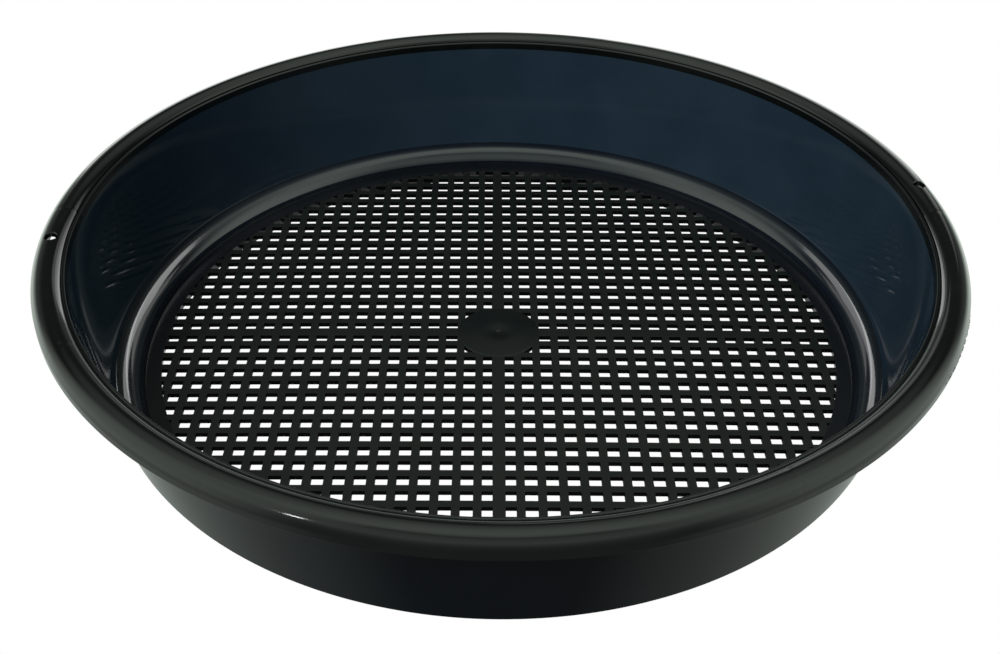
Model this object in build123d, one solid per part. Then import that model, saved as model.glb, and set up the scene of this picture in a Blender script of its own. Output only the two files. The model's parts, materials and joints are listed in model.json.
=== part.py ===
"""Round plastic sieve (riddle) used over a gold pan: one moulding, modelled region by region.

Millimetres. +Z is up, the origin is the centre of the plane that the foot ring stands on, and the
bars of the square mesh run along X and Y. Every region meets its neighbours face to face.
"""
from build123d import *
import math
import os

# mesh floor
PITCH = 8.1
HOLE = 4.8
CELLS_PER_HALF = 18
CROSS_RIB_WIDTH = 5.2
FLOOR_THICKNESS = 2.2
MESH_RADIUS = 144.6
MESH_EDGE = 0.6
SMALLEST_CUT = 0.8
DISC_RADIUS = 17.8
GATE_DIMPLE_RADIUS = 1.6
GATE_DIMPLE_DEPTH = 0.4

# ring that the sieve stands on
FOOT_HEIGHT = 4.7
FOOT_INNER_RADIUS = 147.3
FOOT_WIDTH = 2.2
FOOT_ROUNDING = 0.6

# rounded step between the floor and the wall
STEP_ROUND = 8.5
STEP_CENTRE_RADIUS = 159.5
STEP_THICKNESS = 2.2
STEP_FACETS = 10
FLOOR_CORNER = 1.9
LEDGE_OUTER_RADIUS = 161.4

# side wall
WALL_BOTTOM_Z = 11.5
WALL_BOTTOM_OUTER_RADIUS = 163.5
WALL_BOTTOM_ROUNDING = 0.7
WALL_TOP_Z = 64.8
WALL_TOP_INNER_RADIUS = 171.0
WALL_TOP_OUTER_RADIUS = 174.2

# rolled rim
LIP_SHOULDER_Z = 67.4
LIP_TOP_Z = 68.2
GROOVE_RADIUS = 173.2
GROOVE_Z = 67.9
CROWN_RADIUS = 178.2
CROWN_HALF_WIDTH = 6.3
CROWN_HEIGHT = 5.8
RIM_THICKNESS = 2.2
HOLLOW_INNER_RADIUS = 175.4
SKIRT_BOTTOM_Z = 62.2
SKIRT_ROUNDING = 0.6
HANG_HOLE_RADIUS = 2.6
HANG_HOLE_CIRCLE = 178.6
HANG_HOLE_ANGLE = 7.0

# plates under the rim
GUSSET_COUNT = 6
GUSSET_THICKNESS = 1.8
GUSSET_BOTTOM_Z = 61.4
GUSSET_RISE = 1.2
GUSSET_CLEARANCE = 0.02

FLOOR_TOP_Z = FOOT_HEIGHT + FLOOR_THICKNESS
LEDGE_TOP_Z = FLOOR_TOP_Z + STEP_ROUND
LEDGE_UNDER_Z = LEDGE_TOP_Z - STEP_THICKNESS
RIM_OUTER_RADIUS = CROWN_RADIUS + CROWN_HALF_WIDTH
SKIRT_INNER_RADIUS = RIM_OUTER_RADIUS - RIM_THICKNESS


def along(value, start, end, first, last):
    """Value at a height on a straight line between two ends."""
    return first + (value - start) / (end - start) * (last - first)


def wall_inner_radius(height):
    """Inner radius of the tapered side wall at a height."""
    return along(height, LEDGE_TOP_Z, WALL_TOP_Z, LEDGE_OUTER_RADIUS, WALL_TOP_INNER_RADIUS)


def wall_outer_radius(height):
    """Outer radius of the tapered side wall at a height."""
    return along(height, WALL_BOTTOM_Z, WALL_TOP_Z, WALL_BOTTOM_OUTER_RADIUS, WALL_TOP_OUTER_RADIUS)


def ring(points):
    """Ring turned about Z from a straight-sided section of (radius, height) points."""
    with BuildSketch(Plane.XZ) as section:
        with BuildLine():
            Polyline(*points, close=True)
        make_face()
    return revolve(section.sketch, Axis.Z, 360)


def rounded(solid, radius, height, rounding):
    """Round the circular edge of a ring at one radius and height."""
    reach = 0.01
    found = []
    for edge in solid.edges().filter_by(GeomType.CIRCLE):
        if abs(edge.radius - radius) < reach and abs(edge.arc_center.Z - height) < reach:
            found.append(edge)
    return fillet(found, rounding)


def foot_ring():
    outer = FOOT_INNER_RADIUS + FOOT_WIDTH
    body = ring([
        (FOOT_INNER_RADIUS, 0),
        (outer, 0),
        (outer, FOOT_HEIGHT),
        (FOOT_INNER_RADIUS, FOOT_HEIGHT),
    ])
    body = rounded(body, outer, 0, FOOT_ROUNDING)
    return rounded(body, FOOT_INNER_RADIUS, 0, FOOT_ROUNDING)


def floor_border():
    inner = MESH_RADIUS + MESH_EDGE
    outer = STEP_CENTRE_RADIUS - STEP_ROUND + STEP_THICKNESS
    body = ring([
        (inner, FOOT_HEIGHT),
        (outer, FOOT_HEIGHT),
        (outer, FLOOR_TOP_Z),
        (inner, FLOOR_TOP_Z),
    ])
    return rounded(body, outer, FOOT_HEIGHT, FLOOR_CORNER)


def quarter_round(radius, first, last):
    """Points of an arc about the step's centre, between two angles in degrees from the +R direction."""
    points = []
    for facet in range(STEP_FACETS + 1):
        angle = math.radians(along(facet, 0, STEP_FACETS, first, last))
        across = STEP_CENTRE_RADIUS + radius * math.cos(angle)
        points.append((across, FLOOR_TOP_Z + radius * math.sin(angle)))
    return points


def riser():
    """Quarter-round step that curls from the floor border up to the ledge."""
    upper = quarter_round(STEP_ROUND, 180, 90)
    under = quarter_round(STEP_ROUND - STEP_THICKNESS, 90, 180)
    return ring(upper + under)


def ledge():
    return ring([
        (STEP_CENTRE_RADIUS, LEDGE_UNDER_Z),
        (LEDGE_OUTER_RADIUS, LEDGE_UNDER_Z),
        (LEDGE_OUTER_RADIUS, LEDGE_TOP_Z),
        (STEP_CENTRE_RADIUS, LEDGE_TOP_Z),
    ])


def side_wall():
    body = ring([
        (LEDGE_OUTER_RADIUS, WALL_BOTTOM_Z),
        (WALL_BOTTOM_OUTER_RADIUS, WALL_BOTTOM_Z),
        (WALL_TOP_OUTER_RADIUS, WALL_TOP_Z),
        (WALL_TOP_INNER_RADIUS, WALL_TOP_Z),
        (LEDGE_OUTER_RADIUS, LEDGE_TOP_Z),
    ])
    return rounded(body, WALL_BOTTOM_OUTER_RADIUS, WALL_BOTTOM_Z, WALL_BOTTOM_ROUNDING)


def rim_lip():
    """Bead along the top of the wall, whose crest falls into the groove."""
    shoulder_radius = wall_inner_radius(LIP_SHOULDER_Z)
    return ring([
        (WALL_TOP_INNER_RADIUS, WALL_TOP_Z),
        (GROOVE_RADIUS, WALL_TOP_Z),
        (GROOVE_RADIUS, GROOVE_Z),
        ((shoulder_radius + GROOVE_RADIUS) / 2, LIP_TOP_Z),
        (shoulder_radius, LIP_SHOULDER_Z),
    ])


def under_crown(clearance=0):
    """Section of the hollow under the crown, above the height where the skirt starts."""
    half_width = (SKIRT_INNER_RADIUS - HOLLOW_INNER_RADIUS) / 2
    with BuildSketch(Plane.XZ) as section:
        with Locations((HOLLOW_INNER_RADIUS + half_width, WALL_TOP_Z)):
            Ellipse(half_width - clearance, CROWN_HEIGHT - RIM_THICKNESS - clearance)
            Rectangle(
                2 * half_width,
                CROWN_HEIGHT,
                align=(Align.CENTER, Align.MIN),
                mode=Mode.INTERSECT,
            )
    return section.sketch


def rim_crown():
    """Arched top of the rim from the groove to its widest point, with two holes to hang it by."""
    with BuildSketch(Plane.XZ) as section:
        with Locations((CROWN_RADIUS, WALL_TOP_Z)):
            Ellipse(CROWN_HALF_WIDTH, CROWN_HEIGHT)
        with Locations((GROOVE_RADIUS, WALL_TOP_Z)):
            Rectangle(
                2 * CROWN_HALF_WIDTH,
                CROWN_HEIGHT,
                align=(Align.MIN, Align.MIN),
                mode=Mode.INTERSECT,
            )
        add(under_crown(), mode=Mode.SUBTRACT)
    crown = revolve(section.sketch, Axis.Z, 360)
    for side in (0, 180):
        angle = math.radians(HANG_HOLE_ANGLE + side)
        centre = Pos(HANG_HOLE_CIRCLE * math.cos(angle), HANG_HOLE_CIRCLE * math.sin(angle), LIP_TOP_Z)
        crown -= centre * Cylinder(HANG_HOLE_RADIUS, 2 * CROWN_HEIGHT)
    return crown


def rim_skirt():
    body = ring([
        (SKIRT_INNER_RADIUS, SKIRT_BOTTOM_Z),
        (RIM_OUTER_RADIUS, SKIRT_BOTTOM_Z),
        (RIM_OUTER_RADIUS, WALL_TOP_Z),
        (SKIRT_INNER_RADIUS, WALL_TOP_Z),
    ])
    return rounded(body, RIM_OUTER_RADIUS, SKIRT_BOTTOM_Z, SKIRT_ROUNDING)


def rim_gusset():
    """Plate that fills the hollow of the rim between the wall and the skirt, in the XZ plane."""
    with BuildSketch(Plane.XZ) as section:
        add(under_crown(GUSSET_CLEARANCE))
        with BuildLine():
            Polyline(
                (wall_outer_radius(GUSSET_BOTTOM_Z), GUSSET_BOTTOM_Z),
                (SKIRT_INNER_RADIUS, GUSSET_BOTTOM_Z + GUSSET_RISE),
                (SKIRT_INNER_RADIUS, WALL_TOP_Z),
                (WALL_TOP_OUTER_RADIUS, WALL_TOP_Z),
                close=True,
            )
        make_face()
    return extrude(section.sketch, GUSSET_THICKNESS / 2, both=True)


def mesh_hole(column, row):
    """Opening of one mesh cell in the quadrant of +X and +Y, cut by the ribs, the disc and the border."""
    low_x = max((column + 0.5) * PITCH - HOLE / 2, CROSS_RIB_WIDTH / 2)
    low_y = max((row + 0.5) * PITCH - HOLE / 2, CROSS_RIB_WIDTH / 2)
    high_x = (column + 0.5) * PITCH + HOLE / 2
    high_y = (row + 0.5) * PITCH + HOLE / 2
    near = math.hypot(low_x, low_y)
    far = math.hypot(high_x, high_y)
    if near > MESH_RADIUS - SMALLEST_CUT or far < DISC_RADIUS + SMALLEST_CUT:
        return None
    corner = Pos(low_x, low_y) * Rectangle(high_x - low_x, high_y - low_y, align=(Align.MIN, Align.MIN))
    if far > MESH_RADIUS:
        corner = corner & Circle(MESH_RADIUS)
    if near < DISC_RADIUS:
        corner = corner - Circle(DISC_RADIUS)
    return corner


def mesh_quadrant():
    """Quarter of the mesh between two cross ribs, the disc and the floor border."""
    outer = MESH_RADIUS + MESH_EDGE
    start = CROSS_RIB_WIDTH / 2
    plate = Circle(outer) - Circle(DISC_RADIUS)
    plate = plate & (Pos(start, start) * Rectangle(outer, outer, align=(Align.MIN, Align.MIN)))
    holes = []
    for column in range(CELLS_PER_HALF):
        for row in range(CELLS_PER_HALF):
            hole = mesh_hole(column, row)
            if hole is not None:
                holes.extend(hole.faces())
    plate = plate.cut(*holes)
    return Pos(0, 0, FOOT_HEIGHT) * extrude(plate, FLOOR_THICKNESS)


def cross_rib():
    """Wide bar from the disc to the floor border, along +X."""
    outer = MESH_RADIUS + MESH_EDGE
    bar = (Circle(outer) - Circle(DISC_RADIUS)) & Rectangle(
        outer,
        CROSS_RIB_WIDTH,
        align=(Align.MIN, Align.CENTER),
    )
    return Pos(0, 0, FOOT_HEIGHT) * extrude(bar, FLOOR_THICKNESS)


def centre_disc():
    """Solid disc at the middle of the floor, with the dimple left by the mould's gate."""
    disc = Pos(0, 0, FOOT_HEIGHT) * Cylinder(
        DISC_RADIUS,
        FLOOR_THICKNESS,
        align=(Align.CENTER, Align.CENTER, Align.MIN),
    )
    dimple = Pos(0, 0, FLOOR_TOP_Z) * Cylinder(GATE_DIMPLE_RADIUS, 2 * GATE_DIMPLE_DEPTH)
    return disc - dimple


def nodes():
    """Every region of the moulding by name."""
    made = {
        "foot_ring": foot_ring(),
        "floor_border": floor_border(),
        "riser": riser(),
        "ledge": ledge(),
        "side_wall": side_wall(),
        "rim_lip": rim_lip(),
        "rim_crown": rim_crown(),
        "rim_skirt": rim_skirt(),
        "centre_disc": centre_disc(),
    }
    quadrant = mesh_quadrant()
    rib = cross_rib()
    quadrant_names = ("back_right", "back_left", "front_left", "front_right")
    rib_names = ("right", "back", "left", "front")
    for turn in range(4):
        made["mesh_" + quadrant_names[turn]] = Rot(0, 0, 90 * turn) * quadrant
        made["cross_rib_" + rib_names[turn]] = Rot(0, 0, 90 * turn) * rib
    gusset = rim_gusset()
    for index in range(GUSSET_COUNT):
        made[f"rim_gusset_{index + 1}"] = Rot(0, 0, index * 360 / GUSSET_COUNT) * gusset
    return made


os.makedirs("parts", exist_ok=True)
for name, shape in nodes().items():
    export_step(shape, f"parts/{name}.step")
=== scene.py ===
"""Looks of the round plastic sieve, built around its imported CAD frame.

Metres, +Z up, in the frame of the CAD. Each region of the moulding is replaced by a finer piece of
the same size and place: turned rings with exact normals, a crown with its hanging holes cut
through, and a mesh floor with rounded holes. The plates under the rim stay as they are packed. The
floor, the lights and the camera come last.
"""

import json
import math

import bpy
import numpy as np
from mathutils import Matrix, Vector


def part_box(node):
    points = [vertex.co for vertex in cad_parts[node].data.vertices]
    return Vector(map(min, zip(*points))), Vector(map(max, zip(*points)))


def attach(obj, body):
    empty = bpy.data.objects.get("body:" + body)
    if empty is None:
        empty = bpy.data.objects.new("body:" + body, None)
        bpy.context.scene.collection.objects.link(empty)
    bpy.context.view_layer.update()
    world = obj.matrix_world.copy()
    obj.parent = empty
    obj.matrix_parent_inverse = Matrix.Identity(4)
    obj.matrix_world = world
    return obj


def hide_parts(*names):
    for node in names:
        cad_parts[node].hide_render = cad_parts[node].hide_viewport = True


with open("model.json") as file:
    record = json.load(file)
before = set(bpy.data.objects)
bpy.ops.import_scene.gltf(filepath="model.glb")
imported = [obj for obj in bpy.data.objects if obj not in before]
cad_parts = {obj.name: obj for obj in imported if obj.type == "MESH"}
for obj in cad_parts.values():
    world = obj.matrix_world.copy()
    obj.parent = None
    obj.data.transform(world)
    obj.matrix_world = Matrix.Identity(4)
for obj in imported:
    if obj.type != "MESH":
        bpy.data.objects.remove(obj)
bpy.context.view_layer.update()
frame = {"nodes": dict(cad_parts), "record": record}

MM = 0.001

# mesh floor
PITCH = 8.1 * MM
HOLE = 4.8 * MM
CELLS_PER_HALF = 18
HOLE_CORNER = 0.25 * MM
BAR_ROUNDING = 0.12 * MM
BAR_BEND = (0.3, 0.7)  # middle of a bar's rounding: its place as a share, and the rise of its normal
FLOOR_DOME = 1.1 * MM
MESH_DROP = 0.02 * MM  # below the border and the ribs, so that no two faces share a plane
MESH_EDGE = 0.6 * MM  # overlap of the border over the mesh
MESH_REACH = 151.0 * MM  # where the mesh ends, inside the border
SMALLEST_CUT = 0.8 * MM  # no hole shows less than this beside the border or the disc
RIB_ROUNDING = 0.12 * MM
RIB_TAPER = 0.2
RIB_TRUE = 0.4  # share of its length where a rib is as wide as in the CAD
RIB_OVERLAP = 1 * MM
RIB_PARTS = 40
UPRIGHT = 0.5  # a face whose normal rises less than this is an upright one

# centre disc
DISC_EDGE = 0.45 * MM
DISC_LIFT = 0.01 * MM
DISC_CONE = 0.45 * MM
DISC_PARTS = 28
GATE_SINK = 0.35 * MM
GATE_SINK_WIDTH = 4.5 * MM
DIMPLE_RADIUS = 1.6 * MM
DIMPLE_DEPTH = 0.4 * MM
SHARP_ANGLE = 32

# foot, step and wall
FOOT_ROUNDING = 0.6 * MM
FLOOR_CORNER = 1.9 * MM
STEP_THICKNESS = 2.2 * MM
WALL_BOTTOM_OUTER = 163.5 * MM
WALL_BOTTOM_ROUNDING = 0.7 * MM

# rim
CROWN_HALF_WIDTH = 6.3 * MM
RIM_THICKNESS = 2.2 * MM
HOLLOW_INNER = 175.4 * MM
SKIRT_ROUNDING = 0.6 * MM
LIP_SHOULDER = 0.8 * MM
HANG_FLARE = 0.6 * MM
HANG_FLARE_START = 0.5 * MM  # below the crest
HANG_FLARE_END = 0.1 * MM  # above the crest
CUTTER_OVER = 1 * MM  # reach of a cutter past the rim on both sides
SAME_SURFACE = 12  # degrees between a face and the true curve that it belongs to

# stations round the axis, in degrees, closer together beside the sink marks and along the flash
STATION_STEP = 1.0
FINE_STEP = 0.15
FINE_REACH = 1.05
AROUND_DISC = 96
AROUND_HOLE = 48

# relief of the moulding; ripples: waves round the axis, radians per metre up, phase, depth in mm
RIPPLES = ((3, 60, 0.0, 0.05), (7, -95, 1.3, 0.025), (23, 130, 0.6, 0.006))
RIPPLE_DROP = 0.085  # mm, so that the ripples never stand proud
RIPPLE_START = 8 * MM  # height where the ripples begin
RIPPLE_RISE = 4 * MM  # height over which they grow to their full depth
SINK_MARKS = (0, 60, 120, 180, 240, 300, 211)
SINK_DEPTH = 0.022 * MM
SINK_WIDTH = 1.2 * MM
SINK_BLEND = 2 * MM
FLASH_FIRST = -35
FLASH_LAST = -20
FLASH_HEIGHT = 0.35 * MM
FLASH_BAND = 0.5 * MM
FLASH_COARSE = (2.9, 7.3, 1)  # two waves per degree whose product is the teeth, and a phase
FLASH_FINE = (0.6, 13.7, 2)  # share, wave per degree and phase of the small teeth
FLASH_BASE = 0.3
SLOPE_STEP = 0.05 * MM
TINY = 1e-9  # keeps a length from being zero


def radii(node):
    """Smallest and largest distance of a CAD node from the Z axis."""
    found = [math.hypot(v.co.x, v.co.y) for v in frame["nodes"][node].data.vertices]
    return min(found), max(found)


def heights(node):
    """Lowest and highest point of a CAD node."""
    low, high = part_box(node)
    return low.z, high.z


# ---------------------------------------------------------------- outlines and turned rings

def line(start, end, parts=1, shown=True):
    """Straight stroke of a closed outline that runs anticlockwise in (radius, height)."""
    across, up = end[0] - start[0], end[1] - start[1]
    length = math.hypot(across, up)
    normal = (up / length, -across / length)
    points = []
    for part in range(parts + 1):
        share = part / parts
        points.append((start[0] + across * share, start[1] + up * share, *normal))
    return {"points": points, "shown": shown}


def bend(centre, size, first, last, parts, shown=True):
    """Elliptical stroke between two angles in degrees; it is hollow where the angle falls."""
    side = 1 if last > first else -1
    points = []
    for part in range(parts + 1):
        angle = math.radians(first + (last - first) * part / parts)
        across, up = math.cos(angle) / size[0], math.sin(angle) / size[1]
        length = math.hypot(across, up) * side
        place = (centre[0] + size[0] * math.cos(angle), centre[1] + size[1] * math.sin(angle))
        points.append((*place, across / length, up / length))
    return {"points": points, "shown": shown}


def stations():
    """Angles of the stations round the axis, in radians."""
    found = set(np.round(np.arange(0, 360, STATION_STEP), 4))
    for mark in SINK_MARKS:
        near = np.arange(-FINE_REACH, FINE_REACH + FINE_STEP / 2, FINE_STEP)
        found.update(np.round((mark + near) % 360, 4))
    found.update(np.round(np.arange(FLASH_FIRST, FLASH_LAST, FINE_STEP) % 360, 4))
    return np.radians(sorted(found))


STATIONS = stations()


def relief(radius, height, angle):
    """Height of the surface over the true ring: slow ripples, sinks over the rim plates, and flash."""
    ripple = 0
    for turns, rise, phase, depth in RIPPLES:
        ripple = ripple + np.sin(turns * angle + rise * height + phase) * depth
    grown = np.clip(height / RIPPLE_RISE - RIPPLE_START / RIPPLE_RISE, 0, 1)
    ripple = (ripple - RIPPLE_DROP) * grown
    sink = 0
    for mark in SINK_MARKS:
        away = (angle - math.radians(mark) + math.pi) % (2 * math.pi) - math.pi
        sink = sink + np.exp(-((away * radius / SINK_WIDTH) ** 2))
    on_rim = np.clip((height - WALL_TOP) / SINK_BLEND + 1, 0, 1)
    return ripple * MM - sink * on_rim * SINK_DEPTH + flash(radius, height, angle)


def flash(radius, height, angle):
    """Ragged flash left on the parting line, along one stretch of the rim's widest edge."""
    degrees = (np.degrees(angle) + 180) % 360 - 180
    ends = np.clip(degrees - FLASH_FIRST, 0, 1) * np.clip(FLASH_LAST - degrees, 0, 1)
    slow, quick, phase = FLASH_COARSE
    teeth = np.sin(slow * degrees) * np.sin(quick * degrees + phase)
    share, fine, phase = FLASH_FINE
    teeth = teeth + share * np.sin(fine * degrees + phase) + FLASH_BASE
    band = np.exp(-(((height - WALL_TOP) / FLASH_BAND) ** 2)) * (radius > CROWN_CENTRE)
    return FLASH_HEIGHT * ends * np.clip(teeth, 0, 1) * band


def turned(name, strokes):
    """Ring turned about Z from the strokes of its outline, with the relief on those that show."""
    rings = sum(len(stroke["points"]) - 1 for stroke in strokes)
    place = np.zeros((rings, 2))
    lift = np.zeros((rings, 2))
    spans = []
    first = 0
    for stroke in strokes:
        points = np.array(stroke["points"])
        parts = len(points) - 1
        index = (first + np.arange(parts + 1)) % rings
        place[index] = points[:, :2]
        if stroke["shown"]:
            lift[index] += points[:, 2:]
        spans.append((index, points, stroke["shown"]))
        first += parts
    size = np.maximum(np.linalg.norm(lift, axis=1), TINY)
    lift /= size[:, None]
    count = len(STATIONS)
    high = relief(place[:, 0, None], place[:, 1, None], STATIONS[None, :])
    radius = place[:, 0, None] + lift[:, 0, None] * high
    height = place[:, 1, None] + lift[:, 1, None] * high
    grid = np.stack([radius * np.cos(STATIONS), radius * np.sin(STATIONS), height], axis=2)
    quads, normals = [], []
    after = np.roll(np.arange(count), -1)
    for index, points, shown in spans:
        shade = ring_normals(points, shown)
        for part in range(len(points) - 1):
            low, top = index[part] * count, index[part + 1] * count
            here = np.arange(count)
            quads.append(np.stack([low + here, low + after, top + after, top + here], axis=1))
            normals.append(np.stack(
                [shade[part], shade[part][after], shade[part + 1][after], shade[part + 1]],
                axis=1,
            ))
    data = bpy.data.meshes.new(name)
    data.from_pydata(grid.reshape(-1, 3).tolist(), [], np.concatenate(quads).tolist())
    checked(data)
    data.normals_split_custom_set(np.concatenate(normals).reshape(-1, 3).tolist())
    return added(name, data)


def ring_normals(points, shown):
    """Normals at every point of a stroke and every station."""
    across, up = points[:, 2, None], points[:, 3, None]
    radius, height = points[:, 0, None], points[:, 1, None]
    return tilted(across, up, radius, height, STATIONS[None, :], shown)


def tilted(across, up, radius, height, angle, shown=True):
    """Normal (across, up) of a ring at an angle, tilted by the slope of its relief if that shows."""
    along, round_axis = 0, 0
    if shown:
        step = SLOPE_STEP
        turn = step / radius
        ahead = relief(radius - up * step, height + across * step, angle)
        behind = relief(radius + up * step, height - across * step, angle)
        along = (ahead - behind) / (2 * step)
        after = relief(radius, height, angle + turn)
        before = relief(radius, height, angle - turn)
        round_axis = (after - before) / (2 * step)
    out = across + up * along
    rise = up - across * along
    found = np.stack([
        out * np.cos(angle) + round_axis * np.sin(angle),
        out * np.sin(angle) - round_axis * np.cos(angle),
        rise + 0 * angle,
    ], axis=-1)
    return found / np.linalg.norm(found, axis=-1)[..., None]


def added(name, data):
    """Object of a mesh, linked to the scene."""
    thing = bpy.data.objects.new(name, data)
    bpy.context.scene.collection.objects.link(thing)
    return thing


def checked(data, smooth=True):
    """Clear a new mesh of bad faces and set its shading."""
    data.validate()
    data.update()
    if smooth:
        data.polygons.foreach_set("use_smooth", [True] * len(data.polygons))


def place(thing, slot, material, *nodes):
    """Put a piece on the root body in place of CAD nodes, with its material; the slot that it is given
    is not used.
    """
    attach(thing, "root")
    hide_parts(*nodes)
    if material:
        thing.data.materials.append(material)


def dark_sides(thing):
    """Give the upright faces of a piece of the mesh the near-black plastic that paints shade on them.
    """
    thing.data.materials.append(hole_plastic)
    for face in thing.data.polygons:
        if abs(face.normal.z) < UPRIGHT:
            face.material_index = 1


# ---------------------------------------------------------------- measures read from the frame

FOOT_IN, FOOT_OUT = radii("foot_ring")
FOOT_TOP = heights("foot_ring")[1]
MESH_IN = radii("floor_border")[0] - MESH_EDGE
CORNER_OUT = radii("floor_border")[1]
FLOOR_UNDER, FLOOR_TOP = heights("floor_border")
STEP_INNER, STEP_CENTRE = radii("riser")
LEDGE_OUT = radii("ledge")[1]
LEDGE_UNDER, LEDGE_TOP = heights("ledge")
WALL_BOTTOM, WALL_TOP = heights("side_wall")
WALL_TOP_OUTER = radii("side_wall")[1]
WALL_TOP_INNER, GROOVE = radii("rim_lip")
LIP_TOP = heights("rim_lip")[1]
RIM_OUTER = radii("rim_skirt")[1]
SKIRT_BOTTOM = heights("rim_skirt")[0]
CROWN_TOP = heights("rim_crown")[1]
DISC_RADIUS = radii("centre_disc")[1]
RIB_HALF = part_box("cross_rib_right")[1].y
STEP_ROUND = STEP_CENTRE - STEP_INNER
CROWN_HEIGHT = CROWN_TOP - WALL_TOP
CROWN_CENTRE = RIM_OUTER - CROWN_HALF_WIDTH
HANG_MOUNTS = [m for m in frame["record"]["mounts"] if m["name"].startswith("hang_hole")]
HANG_ANGLES = [math.degrees(math.atan2(m["pos_m"][1], m["pos_m"][0])) for m in HANG_MOUNTS]
HANG_CIRCLE = math.hypot(*HANG_MOUNTS[0]["pos_m"][:2])
HANG_RADIUS = HANG_MOUNTS[0]["dims"]["r_mm"] * MM


# ---------------------------------------------------------------- materials

# noise of the plastics: scale, detail and, for the polish, roughness
CLOUDS = (38, 4)
POLISH = (210, 5, 0.65)
GRAIN = (2600, 2)
WAVES = (55, 1)
CLOUD_RANGE = (0.35, 0.7)
POLISH_RANGE = (0.3, 0.7)
PLASTIC_IOR = 1.5


def black_plastic(name, tone, cloud_tone, rough, rough_swing, grain, waves, gloss=0.5):
    """Moulded black polypropylene: flow clouds in its colour, uneven polish, grain and slow waves."""
    material = bpy.data.materials.new(name)
    material.use_nodes = True
    tree = material.node_tree
    tree.nodes.clear()
    out = tree.nodes.new("ShaderNodeOutputMaterial")
    shader = tree.nodes.new("ShaderNodeBsdfPrincipled")
    shader.inputs["IOR"].default_value = PLASTIC_IOR
    shader.inputs["Specular IOR Level"].default_value = gloss
    tree.links.new(shader.outputs["BSDF"], out.inputs["Surface"])
    place_in = tree.nodes.new("ShaderNodeTexCoord").outputs["Object"]

    def noise(scale, detail, roughness=0.5):
        node = tree.nodes.new("ShaderNodeTexNoise")
        node.inputs["Scale"].default_value = scale
        node.inputs["Detail"].default_value = detail
        node.inputs["Roughness"].default_value = roughness
        tree.links.new(place_in, node.inputs["Vector"])
        return node.outputs["Fac"]

    colour = tree.nodes.new("ShaderNodeValToRGB")
    for element, position, shade in zip(colour.color_ramp.elements, CLOUD_RANGE, (tone, cloud_tone)):
        element.position = position
        element.color = (*shade, 1)
    tree.links.new(noise(*CLOUDS), colour.inputs["Fac"])
    tree.links.new(colour.outputs["Color"], shader.inputs["Base Color"])

    polish = tree.nodes.new("ShaderNodeMapRange")
    polish.inputs["From Min"].default_value, polish.inputs["From Max"].default_value = POLISH_RANGE
    polish.inputs["To Min"].default_value = rough - rough_swing
    polish.inputs["To Max"].default_value = rough + rough_swing
    tree.links.new(noise(*POLISH), polish.inputs["Value"])
    tree.links.new(polish.outputs["Result"], shader.inputs["Roughness"])

    def bump(height, distance):
        node = tree.nodes.new("ShaderNodeBump")
        node.inputs["Strength"].default_value = 1.0
        node.inputs["Distance"].default_value = distance
        tree.links.new(height, node.inputs["Height"])
        return node

    fine = bump(noise(*GRAIN), grain)
    slow = bump(noise(*WAVES), waves)
    tree.links.new(slow.outputs["Normal"], fine.inputs["Normal"])
    tree.links.new(fine.outputs["Normal"], shader.inputs["Normal"])
    return material


wall_plastic = black_plastic(
    "wall_plastic", (0.0085, 0.0165, 0.0260), (0.0110, 0.0200, 0.0310),
    0.06, 0.02, 0.0004 * MM, 0.03 * MM,
)
# painted shade: a much darker copy of the wall's plastic, standing in for the shade under the rim's
# overhang on the outside of the wall, the foot ring and the ledge
outer_plastic = black_plastic(
    "outer_plastic", (0.0010, 0.0020, 0.0040), (0.0018, 0.0030, 0.0055),
    0.08, 0.02, 0.0004 * MM, 0.03 * MM,
)
border_plastic = black_plastic(
    "border_plastic", (0.0012, 0.0018, 0.0030), (0.0022, 0.0028, 0.0042),
    0.28, 0.04, 0.0012 * MM, 0.03 * MM, 0.24,
)
step_plastic = black_plastic(
    "step_plastic", (0.0018, 0.0030, 0.0052), (0.0026, 0.0042, 0.0070),
    0.10, 0.02, 0.0006 * MM, 0.03 * MM, 0.75,
)
rim_plastic = black_plastic(
    "rim_plastic", (0.0012, 0.0017, 0.0017), (0.0020, 0.0027, 0.0025),
    0.09, 0.02, 0.0008 * MM, 0.02 * MM,
)
mesh_plastic = black_plastic(
    "mesh_plastic", (0.0025, 0.0034, 0.0030), (0.0042, 0.0052, 0.0046),
    0.20, 0.05, 0.004 * MM, 0.02 * MM, 0.34,
)
disc_plastic = black_plastic(
    "disc_plastic", (0.0022, 0.0032, 0.0034), (0.0036, 0.0046, 0.0046),
    0.14, 0.04, 0.0012 * MM, 0.05 * MM, 0.30,
)
# painted shade: a near-black, hardly glossy copy of the plastic for the upright sides of the holes, the
# ribs and the disc, where shade falls under the mesh
hole_plastic = black_plastic(
    "hole_plastic", (0.0003, 0.0004, 0.0004), (0.0006, 0.0008, 0.0008),
    0.50, 0.08, 0.003 * MM, 0.02 * MM, 0.02,
)


# ---------------------------------------------------------------- foot, step and wall

def foot_ring():
    low = FOOT_ROUNDING
    return turned("foot_ring_turned", [
        bend((FOOT_IN + low, low), (low, low), 180, 270, 5),
        line((FOOT_IN + low, 0), (FOOT_OUT - low, 0)),
        bend((FOOT_OUT - low, low), (low, low), 270, 360, 5),
        line((FOOT_OUT, low), (FOOT_OUT, FOOT_TOP), 2),
        line((FOOT_OUT, FOOT_TOP), (FOOT_IN, FOOT_TOP), shown=False),
        line((FOOT_IN, FOOT_TOP), (FOOT_IN, low), 2),
    ])


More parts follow.
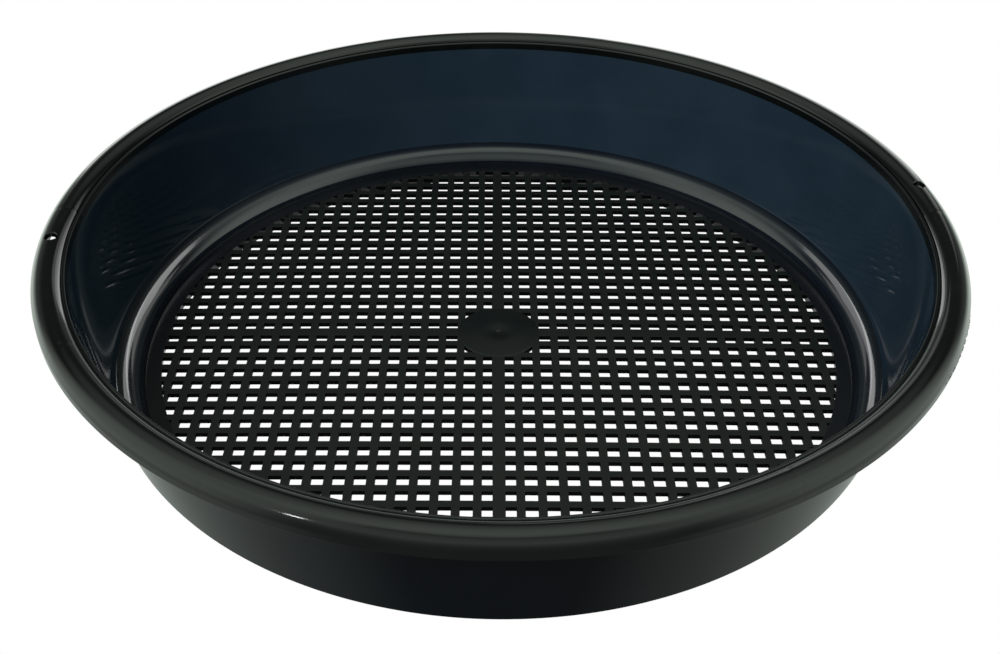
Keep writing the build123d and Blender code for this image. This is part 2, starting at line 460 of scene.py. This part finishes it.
def floor_border():
    corner = FLOOR_CORNER
    return turned("floor_border_turned", [
        line((MESH_IN, FLOOR_UNDER), (CORNER_OUT - corner, FLOOR_UNDER), 4),
        bend((CORNER_OUT - corner, FLOOR_UNDER + corner), (corner, corner), 270, 360, 8),
        line((CORNER_OUT, FLOOR_UNDER + corner), (CORNER_OUT, FLOOR_TOP), shown=False),
        line((CORNER_OUT, FLOOR_TOP), (STEP_INNER, FLOOR_TOP), shown=False),
        line((STEP_INNER, FLOOR_TOP), (MESH_IN, FLOOR_TOP), 4),
        line((MESH_IN, FLOOR_TOP), (MESH_IN, FLOOR_UNDER)),
    ])


def riser():
    under = STEP_ROUND - STEP_THICKNESS
    centre = (STEP_CENTRE, FLOOR_TOP)
    return turned("riser_turned", [
        line((STEP_INNER, FLOOR_TOP), (CORNER_OUT, FLOOR_TOP), shown=False),
        bend(centre, (under, under), 180, 90, 20),
        line((STEP_CENTRE, LEDGE_UNDER), (STEP_CENTRE, LEDGE_TOP), shown=False),
        bend(centre, (STEP_ROUND, STEP_ROUND), 90, 180, 48),
    ])


def ledge():
    return turned("ledge_turned", [
        line((STEP_CENTRE, LEDGE_UNDER), (LEDGE_OUT, LEDGE_UNDER), 2),
        line((LEDGE_OUT, LEDGE_UNDER), (LEDGE_OUT, LEDGE_TOP), shown=False),
        line((LEDGE_OUT, LEDGE_TOP), (STEP_CENTRE, LEDGE_TOP), 3),
        line((STEP_CENTRE, LEDGE_TOP), (STEP_CENTRE, LEDGE_UNDER), shown=False),
    ])


def side_wall():
    rise = math.atan2(WALL_TOP_OUTER - WALL_BOTTOM_OUTER, WALL_TOP - WALL_BOTTOM)
    corner = WALL_BOTTOM_ROUNDING
    lean = math.degrees(rise)
    reach = corner * math.tan((math.pi / 2 + rise) / 2)
    centre = (WALL_BOTTOM_OUTER - reach, WALL_BOTTOM + corner)
    start = (centre[0] + corner * math.cos(rise), centre[1] - corner * math.sin(rise))
    return turned("side_wall_turned", [
        line((LEDGE_OUT, WALL_BOTTOM), (centre[0], WALL_BOTTOM)),
        bend(centre, (corner, corner), 270, 360 - lean, 8),
        line(start, (WALL_TOP_OUTER, WALL_TOP), 24),
        line((WALL_TOP_OUTER, WALL_TOP), (WALL_TOP_INNER, WALL_TOP), shown=False),
        line((WALL_TOP_INNER, WALL_TOP), (LEDGE_OUT, LEDGE_TOP), 24),
        line((LEDGE_OUT, LEDGE_TOP), (LEDGE_OUT, WALL_BOTTOM)),
    ])


# ---------------------------------------------------------------- rim

def crown_start():
    """Height of the crown's arch where it leaves the groove, and its angle in degrees."""
    share = (GROOVE - CROWN_CENTRE) / CROWN_HALF_WIDTH
    return WALL_TOP + CROWN_HEIGHT * math.sqrt(1 - share * share), math.degrees(math.acos(share))


def rim_lip():
    slope = (WALL_TOP_INNER - LEDGE_OUT) / (WALL_TOP - LEDGE_TOP)
    shoulder_z = LIP_TOP - LIP_SHOULDER
    shoulder = (WALL_TOP_INNER + slope * (shoulder_z - WALL_TOP), shoulder_z)
    half = (GROOVE - shoulder[0]) / 2
    centre = (shoulder[0] + half, shoulder_z)
    return turned("rim_lip_turned", [
        line((WALL_TOP_INNER, WALL_TOP), (GROOVE, WALL_TOP), shown=False),
        line((GROOVE, WALL_TOP), (GROOVE, shoulder_z), shown=False),
        bend(centre, (half, LIP_TOP - shoulder_z), 0, 180, 20),
        line(shoulder, (WALL_TOP_INNER, WALL_TOP), 3),
    ])


def rim_crown():
    """Arch of the rim over its hollow, with the two hanging holes cut through."""
    start_z, start_angle = crown_start()
    skirt_inner = RIM_OUTER - RIM_THICKNESS
    hollow = ((skirt_inner - HOLLOW_INNER) / 2, CROWN_HEIGHT - RIM_THICKNESS)
    middle = (HOLLOW_INNER + hollow[0], WALL_TOP)
    crown = turned("rim_crown_turned", [
        line((GROOVE, WALL_TOP), (HOLLOW_INNER, WALL_TOP), shown=False),
        bend(middle, hollow, 180, 0, 24),
        line((skirt_inner, WALL_TOP), (RIM_OUTER, WALL_TOP), shown=False),
        bend((CROWN_CENTRE, WALL_TOP), (CROWN_HALF_WIDTH, CROWN_HEIGHT), 0, start_angle, 64),
        line((GROOVE, start_z), (GROOVE, WALL_TOP), shown=False),
    ])
    cutters = [hole_cutter(f"cutter_{side}", angle) for side, angle in enumerate(HANG_ANGLES)]
    for cutter in cutters:
        cut = crown.modifiers.new(cutter.name, "BOOLEAN")
        cut.operation = "DIFFERENCE"
        cut.solver = "EXACT"
        cut.object = cutter
    bpy.context.view_layer.update()
    solid = crown.evaluated_get(bpy.context.evaluated_depsgraph_get())
    data = bpy.data.meshes.new_from_object(solid)
    crown.modifiers.clear()
    crown.data = data
    for cutter in cutters:
        bpy.data.objects.remove(cutter)
    data.polygons.foreach_set("use_smooth", [True] * len(data.polygons))
    data.normals_split_custom_set(crown_normals(data, middle, hollow))
    return crown


def hole_cutter(name, degrees):
    """Round cutter of a hanging hole, wider at the top, where the moulding's edge is broken."""
    angle = math.radians(degrees)
    middle = (HANG_CIRCLE * math.cos(angle), HANG_CIRCLE * math.sin(angle))
    wide = HANG_RADIUS + HANG_FLARE
    levels = (
        (HANG_RADIUS, SKIRT_BOTTOM - CUTTER_OVER), (HANG_RADIUS, CROWN_TOP - HANG_FLARE_START),
        (wide, CROWN_TOP + HANG_FLARE_END), (wide, CROWN_TOP + CUTTER_OVER),
    )
    around = AROUND_HOLE
    points, faces = [], []
    for radius, z in levels:
        for i in range(around):
            turn = 2 * math.pi * i / around
            points.append((middle[0] + radius * math.cos(turn), middle[1] + radius * math.sin(turn), z))
    for ring in range(len(levels) - 1):
        for i in range(around):
            here, after = ring * around + i, ring * around + (i + 1) % around
            faces.append((here, after, after + around, here + around))
    faces.append(tuple(reversed(range(around))))
    faces.append(tuple(range((len(levels) - 1) * around, len(levels) * around)))
    data = bpy.data.meshes.new(name)
    data.from_pydata(points, [], faces)
    return added(name, data)


def read(items, name, width, kind=float):
    """Values of one attribute of a mesh's parts as an array."""
    values = np.zeros(len(items) * width, dtype=kind)
    items.foreach_get(name, values)
    return values.reshape(-1, width) if width > 1 else values


def crown_normals(data, middle, hollow):
    """Corner normals of the cut crown: true on its two ellipses, and flat on its ends and holes."""
    corners = read(data.loops, "vertex_index", 1, int)
    places = read(data.vertices, "co", 3)[corners]
    sides = read(data.polygons, "loop_total", 1, int)
    flat = np.repeat(read(data.polygons, "normal", 3), sides, axis=0)
    radius = np.hypot(places[:, 0], places[:, 1])
    angle = np.arctan2(places[:, 1], places[:, 0])
    found = flat.copy()
    for centre, size, side in (
        ((CROWN_CENTRE, WALL_TOP), (CROWN_HALF_WIDTH, CROWN_HEIGHT), 1),
        (middle, hollow, -1),
    ):
        across = side * (radius - centre[0]) / size[0] ** 2
        up = side * (places[:, 2] - centre[1]) / size[1] ** 2
        length = np.maximum(np.hypot(across, up), TINY)
        smooth = tilted(across / length, up / length, radius, places[:, 2], angle)
        near = np.sum(smooth * flat, axis=1) > math.cos(math.radians(SAME_SURFACE))
        found[near] = smooth[near]
    return found.tolist()


def rim_skirt():
    inner = RIM_OUTER - RIM_THICKNESS
    low = SKIRT_ROUNDING
    return turned("rim_skirt_turned", [
        line((inner, SKIRT_BOTTOM), (RIM_OUTER - low, SKIRT_BOTTOM), 2),
        bend((RIM_OUTER - low, SKIRT_BOTTOM + low), (low, low), 270, 360, 8),
        line((RIM_OUTER, SKIRT_BOTTOM + low), (RIM_OUTER, WALL_TOP), 3),
        line((RIM_OUTER, WALL_TOP), (inner, WALL_TOP), shown=False),
        line((inner, WALL_TOP), (inner, SKIRT_BOTTOM), 2),
    ])


# ---------------------------------------------------------------- mesh floor

def dome(x, y):
    """Height of the slightly domed mesh above its edge."""
    return FLOOR_DOME * max(0.0, 1 - (x * x + y * y) / (MESH_IN * MESH_IN))


def quarter_turn(turn):
    """Cosine and sine of a number of quarter turns."""
    angle = math.radians(90 * turn)
    return round(math.cos(angle)), round(math.sin(angle))


def hole_corner(turn):
    """Four directions on one rounded corner of a hole, from the corner's own centre."""
    return [math.radians(90 * turn + 30 * step) for step in range(4)]


def mesh_quarter(name, turn):
    """Whole cells of one quarter of the mesh: a closed plate with a rounded hole in each cell."""
    top, under = FLOOR_TOP - MESH_DROP, FLOOR_UNDER + MESH_DROP
    rounding = BAR_ROUNDING
    share, rise = BAR_BEND
    levels = (
        (rounding, top, 1.0),
        (rounding * share, top - rounding * share, rise),
        (0, top - rounding, 0.0),
        (0, under + rounding, 0.0),
        (rounding, under, -1.0),
    )
    cosine, sine = quarter_turn(turn)
    points, normals, faces, in_holes, known = [], [], [], [], {}

    def point(x, y, z, normal):
        across, along, up = normal
        points.append((x * cosine - y * sine, x * sine + y * cosine, z + dome(x, y)))
        normals.append((across * cosine - along * sine, across * sine + along * cosine, up))
        return len(points) - 1

    def cell_corner(column, row, upper):
        key = (column, row, upper)
        if key not in known:
            inward = min(1.0, MESH_REACH / max(math.hypot(column, row) * PITCH, PITCH))
            x, y = column * PITCH * inward, row * PITCH * inward
            known[key] = point(x, y, top if upper else under, (0, 0, 1 if upper else -1))
        return known[key]

    cells = set()
    for column in range(CELLS_PER_HALF):
        for row in range(CELLS_PER_HALF):
            near = math.hypot((column + 0.5) * PITCH - HOLE / 2, (row + 0.5) * PITCH - HOLE / 2)
            far = math.hypot((column + 0.5) * PITCH + HOLE / 2, (row + 0.5) * PITCH + HOLE / 2)
            if near < MESH_IN - SMALLEST_CUT and far > DISC_RADIUS + SMALLEST_CUT:
                cells.add((column, row))

    for column, row in sorted(cells):
        middle = ((column + 0.5) * PITCH, (row + 0.5) * PITCH)
        inset = HOLE / 2 - HOLE_CORNER
        loops = []
        for spread, z, lean in levels:
            loop = []
            for quarter in range(4):
                side_x = 1 if quarter in (0, 3) else -1
                side_y = 1 if quarter in (0, 1) else -1
                for angle in hole_corner(quarter):
                    reach = HOLE_CORNER + spread
                    x = middle[0] + side_x * inset + reach * math.cos(angle)
                    y = middle[1] + side_y * inset + reach * math.sin(angle)
                    flat = math.sqrt(1 - lean * lean)
                    normal = (-flat * math.cos(angle), -flat * math.sin(angle), lean)
                    loop.append(point(x, y, z, normal))
            loops.append(loop)
        size = len(loops[0])
        for upper, lower in zip(loops, loops[1:]):
            for i in range(size):
                if upper is not loops[0]:
                    in_holes.append(len(faces))
                faces.append((upper[i], upper[(i + 1) % size], lower[(i + 1) % size], lower[i]))
        corners = ((1, 1), (0, 1), (0, 0), (1, 0))
        for upper, loop in ((True, loops[0]), (False, loops[-1])):
            ring = [cell_corner(column + dx, row + dy, upper) for dx, dy in corners]
            for quarter in range(4):
                after = (quarter + 1) % 4
                start = quarter * 4 + 2
                inner = [loop[(start + k) % size] for k in range(5)]
                face = [ring[quarter], ring[after], *reversed(inner)]
                faces.append(tuple(face) if upper else tuple(reversed(face)))
        for dx, dy, ends in ((1, 0, ((1, 0), (1, 1))), (-1, 0, ((0, 1), (0, 0))),
                             (0, 1, ((1, 1), (0, 1))), (0, -1, ((0, 0), (1, 0)))):
            if (column + dx, row + dy) in cells:
                continue
            start, end = [(column + a, row + b) for a, b in ends]
            faces.append((
                cell_corner(*start, False), cell_corner(*end, False),
                cell_corner(*end, True), cell_corner(*start, True),
            ))
    data = bpy.data.meshes.new(name)
    data.from_pydata(points, [], faces)
    checked(data)
    data.normals_split_custom_set_from_vertices(normals)
    data.materials.append(mesh_plastic)
    data.materials.append(hole_plastic)
    # painted shade on the walls of the holes
    for face in in_holes:
        data.polygons[face].material_index = 1
    return added(name, data)


def cross_rib(name, turn):
    """Wide bar of the cross, from the disc to the border, following the dome."""
    start, end, parts = DISC_RADIUS - RIB_OVERLAP, MESH_IN + RIB_OVERLAP, RIB_PARTS
    edge = RIB_ROUNDING
    low, top = FLOOR_UNDER + MESH_DROP / 2, FLOOR_TOP - MESH_DROP / 2
    section = [
        (-RIB_HALF, low), (RIB_HALF, low), (RIB_HALF, top - edge), (RIB_HALF - edge, top),
        (-RIB_HALF + edge, top), (-RIB_HALF, top - edge),
    ]
    cosine, sine = quarter_turn(turn)
    points, faces = [], []
    for part in range(parts + 1):
        share = part / parts
        x = start + (end - start) * share
        for side, z in section:
            y = side * (1 + RIB_TAPER * (RIB_TRUE - share))
            points.append((x * cosine - y * sine, x * sine + y * cosine, z + dome(x, y)))
    count = len(section)
    for part in range(parts):
        for i in range(count):
            here, after = part * count + i, part * count + (i + 1) % count
            faces.append((here, here + count, after + count, after))
    faces.append(tuple(range(count)))
    faces.append(tuple(reversed(range(parts * count, (parts + 1) * count))))
    data = bpy.data.meshes.new(name)
    data.from_pydata(points, [], [tuple(reversed(face)) for face in faces])
    checked(data, smooth=False)
    return added(name, data)


def disc_crest(radius):
    """Top of the disc: the floor's dome, the disc's own cone and the wide shallow sink at the gate."""
    cone = DISC_CONE * (1 - radius / DISC_RADIUS)
    cone = cone - GATE_SINK * math.exp(-((radius / GATE_SINK_WIDTH) ** 2))
    return FLOOR_TOP + DISC_LIFT + dome(0, 0) + cone - FLOOR_DOME * (radius / MESH_IN) ** 2


def disc_outline():
    """Strokes of the disc, from the axis underneath to the axis on top, with the gate's dimple."""
    rise = dome(0, 0)
    edge = DISC_EDGE
    curve = FLOOR_DOME * (DISC_RADIUS / MESH_IN) ** 2
    crest = []
    for part in range(DISC_PARTS + 1):
        radius = (DISC_RADIUS - edge) + (DIMPLE_RADIUS - DISC_RADIUS + edge) * part / DISC_PARTS
        crest.append((radius, disc_crest(radius)))
    shoulder = crest[0][1] - edge
    strokes = [
        line((0.0, FLOOR_UNDER + rise), (DISC_RADIUS, FLOOR_UNDER + rise - curve), 4),
        line((DISC_RADIUS, FLOOR_UNDER + rise - curve), (DISC_RADIUS, shoulder)),
        bend((DISC_RADIUS - edge, shoulder), (edge, edge), 0, 90, 4),
    ]
    strokes.extend(line(a, b) for a, b in zip(crest, crest[1:]))
    strokes.append(bend((0, crest[-1][1]), (DIMPLE_RADIUS, DIMPLE_DEPTH), 0, -90, 8))
    return strokes


def centre_disc(name):
    """Disc at the middle of the mesh: a turned solid whose outline starts and ends on the axis."""
    strokes = disc_outline()
    outline = []
    for stroke in strokes:
        outline.extend(stroke["points"][:-1])
    outline.append(strokes[-1]["points"][-1])
    around = AROUND_DISC
    points = [(0, 0, outline[0][1])]
    faces = []
    body = outline[1:-1]
    for radius, z, _, _ in body:
        for i in range(around):
            angle = 2 * math.pi * i / around
            points.append((radius * math.cos(angle), radius * math.sin(angle), z))
    last = len(points)
    points.append((0, 0, outline[-1][1]))
    for i in range(around):
        after = (i + 1) % around
        faces.append((0, 1 + after, 1 + i))
        for ring in range(len(body) - 1):
            low = 1 + ring * around
            faces.append((low + i, low + after, low + around + after, low + around + i))
        low = 1 + (len(body) - 1) * around
        faces.append((low + i, low + after, last))
    data = bpy.data.meshes.new(name)
    data.from_pydata(points, [], faces)
    checked(data)
    data.set_sharp_from_angle(angle=math.radians(SHARP_ANGLE))
    return added(name, data)


# ---------------------------------------------------------------- pieces put in place

QUARTERS = ("back_right", "back_left", "front_left", "front_right")
RIBS = ("right", "back", "left", "front")

# the foot ring and the ledge take the darker copy of the plastic that paints shade on them
place(foot_ring(), "wall_plastic", outer_plastic, "foot_ring")
place(floor_border(), "wall_plastic", border_plastic, "floor_border")
place(riser(), "wall_plastic", step_plastic, "riser")
place(ledge(), "wall_plastic", outer_plastic, "ledge")
wall = side_wall()
place(wall, "wall_plastic", wall_plastic, "side_wall")
# painted shade: the outward faces of the wall take the darker copy of its plastic
wall.data.materials.append(outer_plastic)
for face in wall.data.polygons:
    if face.normal.dot(Vector((face.center.x, face.center.y, 0))) > 0:
        face.material_index = 1
place(rim_lip(), "rim_plastic", rim_plastic, "rim_lip")
place(rim_crown(), "rim_plastic", rim_plastic, "rim_crown")
place(rim_skirt(), "rim_plastic", rim_plastic, "rim_skirt")
disc = centre_disc("centre_disc_turned")
place(disc, "mesh_plastic", disc_plastic, "centre_disc")
dark_sides(disc)
for turn in range(4):
    quarter = mesh_quarter(f"mesh_{QUARTERS[turn]}_moulded", turn)
    place(quarter, "mesh_plastic", None, f"mesh_{QUARTERS[turn]}")
    rib = cross_rib(f"cross_rib_{RIBS[turn]}_moulded", turn)
    place(rib, "mesh_plastic", mesh_plastic, f"cross_rib_{RIBS[turn]}")
    dark_sides(rib)
for node, thing in frame["nodes"].items():
    if node.startswith("rim_gusset"):
        thing.data.materials.clear()
        thing.data.materials.append(rim_plastic)


# ---------------------------------------------------------------- floor, lights and camera

FLOOR_REACH = 6.0
POOL_EDGE = 2 * MM
POOL_HEIGHT = 0.4 * MM
POOL_BRIGHTNESS = 0.95
AROUND_POOL = 96

# soft panels: name, azimuth, elevation, width and height in degrees, brightness
RIM_PANELS = (
    ("panel_left_low", 109, 8, 24, 12, 1.9),
    ("panel_left_middle", 107.5, 17.5, 27, 7, 0.4),
    ("panel_right_low", 70.5, 8, 25, 12, 1.7),
    ("panel_right_middle", 71, 17.5, 26, 7, 1.2),
    ("panel_right_high", 73, 25, 30, 8, 0.55),
    ("glint_left", -135.3, 31, 3, 5, 30.0),
)
STEP_PANELS = (
    ("panel_step_back_left", 105.5, 41, 31, 15, 1.7),
    ("panel_step_back_right", 74.5, 41, 31, 15, 2.6),
    ("panel_step_left", 122, 28, 30, 12, 0.8),
    ("panel_step_right", 58, 28, 30, 12, 0.9),
)
FILL_PANEL = ("panel_fill", -125, 48, 34, 34, 13.0)
PANEL_DISTANCE = 8.0

# brightness of the surroundings by the sine of the elevation: (sine, brightness)
AIR_SIDES = (
    (-1.0, 0.04), (-0.97, 0.06), (-0.87, 0.19), (-0.71, 0.42), (-0.42, 0.55), (-0.26, 0.80),
    (-0.09, 1.10), (0.09, 1.15), (0.57, 1.15), (0.82, 0.95), (1.0, 1.15),
)
AIR_FRONT = (
    (-1.0, 0.03), (-0.93, 0.06), (-0.74, 0.15), (-0.42, 0.17), (-0.05, 0.21), (0.14, 0.26),
    (0.37, 0.41), (0.57, 0.67), (0.80, 0.58), (0.90, 0.40), (0.93, 0.40), (0.955, 0.80),
    (1.0, 1.15),
)
AIR_BACK = (
    (-1.0, 0.05), (-0.71, 0.40), (-0.42, 0.90), (-0.19, 1.60), (0.0, 1.10), (0.17, 0.26),
    (0.35, 0.18), (0.48, 0.06), (0.57, 0.06), (0.64, 0.26), (0.71, 0.38), (0.85, 0.68),
    (0.94, 0.95), (1.0, 1.15),
)
AIR_TINT = (0.94, 1.05, 0.96)
AIR_TOP = 1.8  # brightness that the tables are divided by
AIR_DIFFUSE = 0.06  # share of the surroundings that lights the dull part of the plastics

# sideways share of a direction where the front or the back starts to turn into the sides, and ends
FRONT_TO_SIDES = (0.62, 1.0)
BACK_TO_SIDES = (0.80, 1.02)
BACK_TO_FRONT = (0.3, -0.3)
LEAST_LEVEL = 0.0001


def white_glow(name, brightness):
    """Material that gives off white light and mirrors nothing."""
    material = bpy.data.materials.new(name)
    material.use_nodes = True
    shader = material.node_tree.nodes["Principled BSDF"]
    shader.inputs["Base Color"].default_value = (0, 0, 0, 1)
    shader.inputs["Specular IOR Level"].default_value = 0
    shader.inputs["Emission Color"].default_value = (1, 1, 1, 1)
    shader.inputs["Emission Strength"].default_value = brightness
    return material


def flat_sheet(name, points, material):
    """Flat staged sheet with one face."""
    data = bpy.data.meshes.new(name)
    data.from_pydata(points, [], [tuple(range(len(points)))])
    data.materials.append(material)
    sheet = added(name, data)
    sheet.visible_diffuse = False
    return sheet


def pale_floor():
    """Plain white floor under the sieve, seen by the camera."""
    reach = FLOOR_REACH
    points = [(-reach, -reach, 0), (reach, -reach, 0), (reach, reach, 0), (-reach, reach, 0)]
    floor = flat_sheet("floor", points, white_glow("floor_white", 1.0))
    floor.visible_glossy = False


def bright_pool():
    """White of the floor inside the foot ring, as the polished walls mirror it."""
    radius = FOOT_IN - POOL_EDGE
    turns = [2 * math.pi * i / AROUND_POOL for i in range(AROUND_POOL)]
    points = [(radius * math.cos(a), radius * math.sin(a), POOL_HEIGHT) for a in turns]
    pool = flat_sheet("bright_pool", points, white_glow("pool_white", POOL_BRIGHTNESS))
    pool.visible_camera = False


def soft_panel(name, azimuth, elevation, width, height, brightness):
    """Soft rectangular light at a direction from the object, facing it and unseen by the camera."""
    across, up = math.radians(azimuth), math.radians(elevation)
    level = math.cos(up)
    toward = Vector((math.cos(across) * level, math.sin(across) * level, math.sin(up)))
    data = bpy.data.lights.new(name, "AREA")
    data.shape = "RECTANGLE"
    data.size = 2 * PANEL_DISTANCE * math.tan(math.radians(width / 2))
    data.size_y = 2 * PANEL_DISTANCE * math.tan(math.radians(height / 2))
    data.energy = brightness * math.pi * data.size * data.size_y
    lamp = bpy.data.objects.new(name, data)
    lamp.location = toward * PANEL_DISTANCE
    lamp.rotation_euler = toward.to_track_quat("Z", "Y").to_euler()
    lamp.visible_camera = False
    bpy.context.scene.collection.objects.link(lamp)
    return lamp


def studio_air():
    """Soft tent, bright at both sides and dim in front and behind; the camera sees it white."""
    world = bpy.data.worlds.new("studio_air")
    world.use_nodes = True
    tree = world.node_tree
    tree.nodes.clear()
    link = tree.links.new
    coordinates = tree.nodes.new("ShaderNodeTexCoord")
    split = tree.nodes.new("ShaderNodeSeparateXYZ")
    link(coordinates.outputs["Generated"], split.inputs["Vector"])

    def math_node(kind, *values):
        node = tree.nodes.new("ShaderNodeMath")
        node.operation = kind
        for socket, value in zip(node.inputs, values):
            if isinstance(value, (int, float)):
                socket.default_value = value
            else:
                link(value, socket)
        return node.outputs["Value"]

    def brightness(table):
        ramp = tree.nodes.new("ShaderNodeValToRGB")
        elements = ramp.color_ramp.elements
        while len(elements) < len(table):
            elements.new(0.5)
        for element, (sine, value) in zip(elements, table):
            element.position = (sine + 1) / 2
            share = value / AIR_TOP
            element.color = (*[share * tint for tint in AIR_TINT], 1)
        link(math_node("MULTIPLY_ADD", split.outputs["Z"], 0.5, 0.5), ramp.inputs["Fac"])
        return ramp.outputs["Color"]

    def blend(share, first, second):
        node = tree.nodes.new("ShaderNodeMix")
        node.data_type = "RGBA"
        link(share, node.inputs["Factor"])
        link(first, node.inputs["A"])
        link(second, node.inputs["B"])
        return node.outputs["Result"]

    def smooth(value, span):
        node = tree.nodes.new("ShaderNodeMapRange")
        node.interpolation_type = "SMOOTHSTEP"
        node.inputs["From Min"].default_value, node.inputs["From Max"].default_value = span
        link(value, node.inputs["Value"])
        return node.outputs["Result"]

    steep = math_node("MULTIPLY", split.outputs["Z"], split.outputs["Z"])
    level = math_node("SQRT", math_node("MAXIMUM", math_node("SUBTRACT", 1, steep), LEAST_LEVEL))
    sideways = math_node("DIVIDE", math_node("ABSOLUTE", split.outputs["X"]), level)
    to_front = smooth(math_node("DIVIDE", split.outputs["Y"], level), BACK_TO_FRONT)
    sides = brightness(AIR_SIDES)
    behind = blend(smooth(sideways, BACK_TO_SIDES), brightness(AIR_BACK), sides)
    ahead = blend(smooth(sideways, FRONT_TO_SIDES), brightness(AIR_FRONT), sides)
    tent = blend(to_front, behind, ahead)

    soft = tree.nodes.new("ShaderNodeBackground")
    link(tent, soft.inputs["Color"])
    white = tree.nodes.new("ShaderNodeBackground")
    white.inputs["Color"].default_value = (1, 1, 1, 1)
    white.inputs["Strength"].default_value = 1.0
    chosen = tree.nodes.new("ShaderNodeMixShader")
    rays = tree.nodes.new("ShaderNodeLightPath")
    dimming = AIR_TOP * (AIR_DIFFUSE - 1)
    strength = math_node("MULTIPLY_ADD", rays.outputs["Is Diffuse Ray"], dimming, AIR_TOP)
    link(strength, soft.inputs["Strength"])
    link(rays.outputs["Is Camera Ray"], chosen.inputs["Fac"])
    link(soft.outputs["Background"], chosen.inputs[1])
    link(white.outputs["Background"], chosen.inputs[2])
    out = tree.nodes.new("ShaderNodeOutputWorld")
    link(chosen.outputs["Shader"], out.inputs["Surface"])
    bpy.context.scene.world = world
    bpy.context.scene.view_settings.view_transform = "Standard"


pale_floor()
bright_pool()
studio_air()
for piece, panels in (("rim_crown_turned", RIM_PANELS), ("riser_turned", STEP_PANELS)):
    lit = bpy.data.collections.new(f"lit_{piece}")
    lit.objects.link(bpy.data.objects[piece])
    for panel in panels:
        soft_panel(*panel).light_linking.receiver_collection = lit
soft_panel(*FILL_PANEL).visible_glossy = False

# camera: degrees for the turns, mm for the lens
CAMERA_PLACE = (-0.00424, -0.42878, 0.32874)
CAMERA_TILT = 53.423
CAMERA_ROLL = -0.054
CAMERA_TURN = 0.375
CAMERA_LENS = 43.97
CAMERA_SHIFT = 0.0172

camera_data = bpy.data.cameras.new("camera")
camera_data.lens = CAMERA_LENS
camera_data.shift_x = CAMERA_SHIFT
camera = bpy.data.objects.new("camera", camera_data)
camera.location = CAMERA_PLACE
camera.rotation_euler = [math.radians(a) for a in (CAMERA_TILT, CAMERA_ROLL, CAMERA_TURN)]
bpy.context.scene.collection.objects.link(camera)
bpy.context.scene.camera = camera
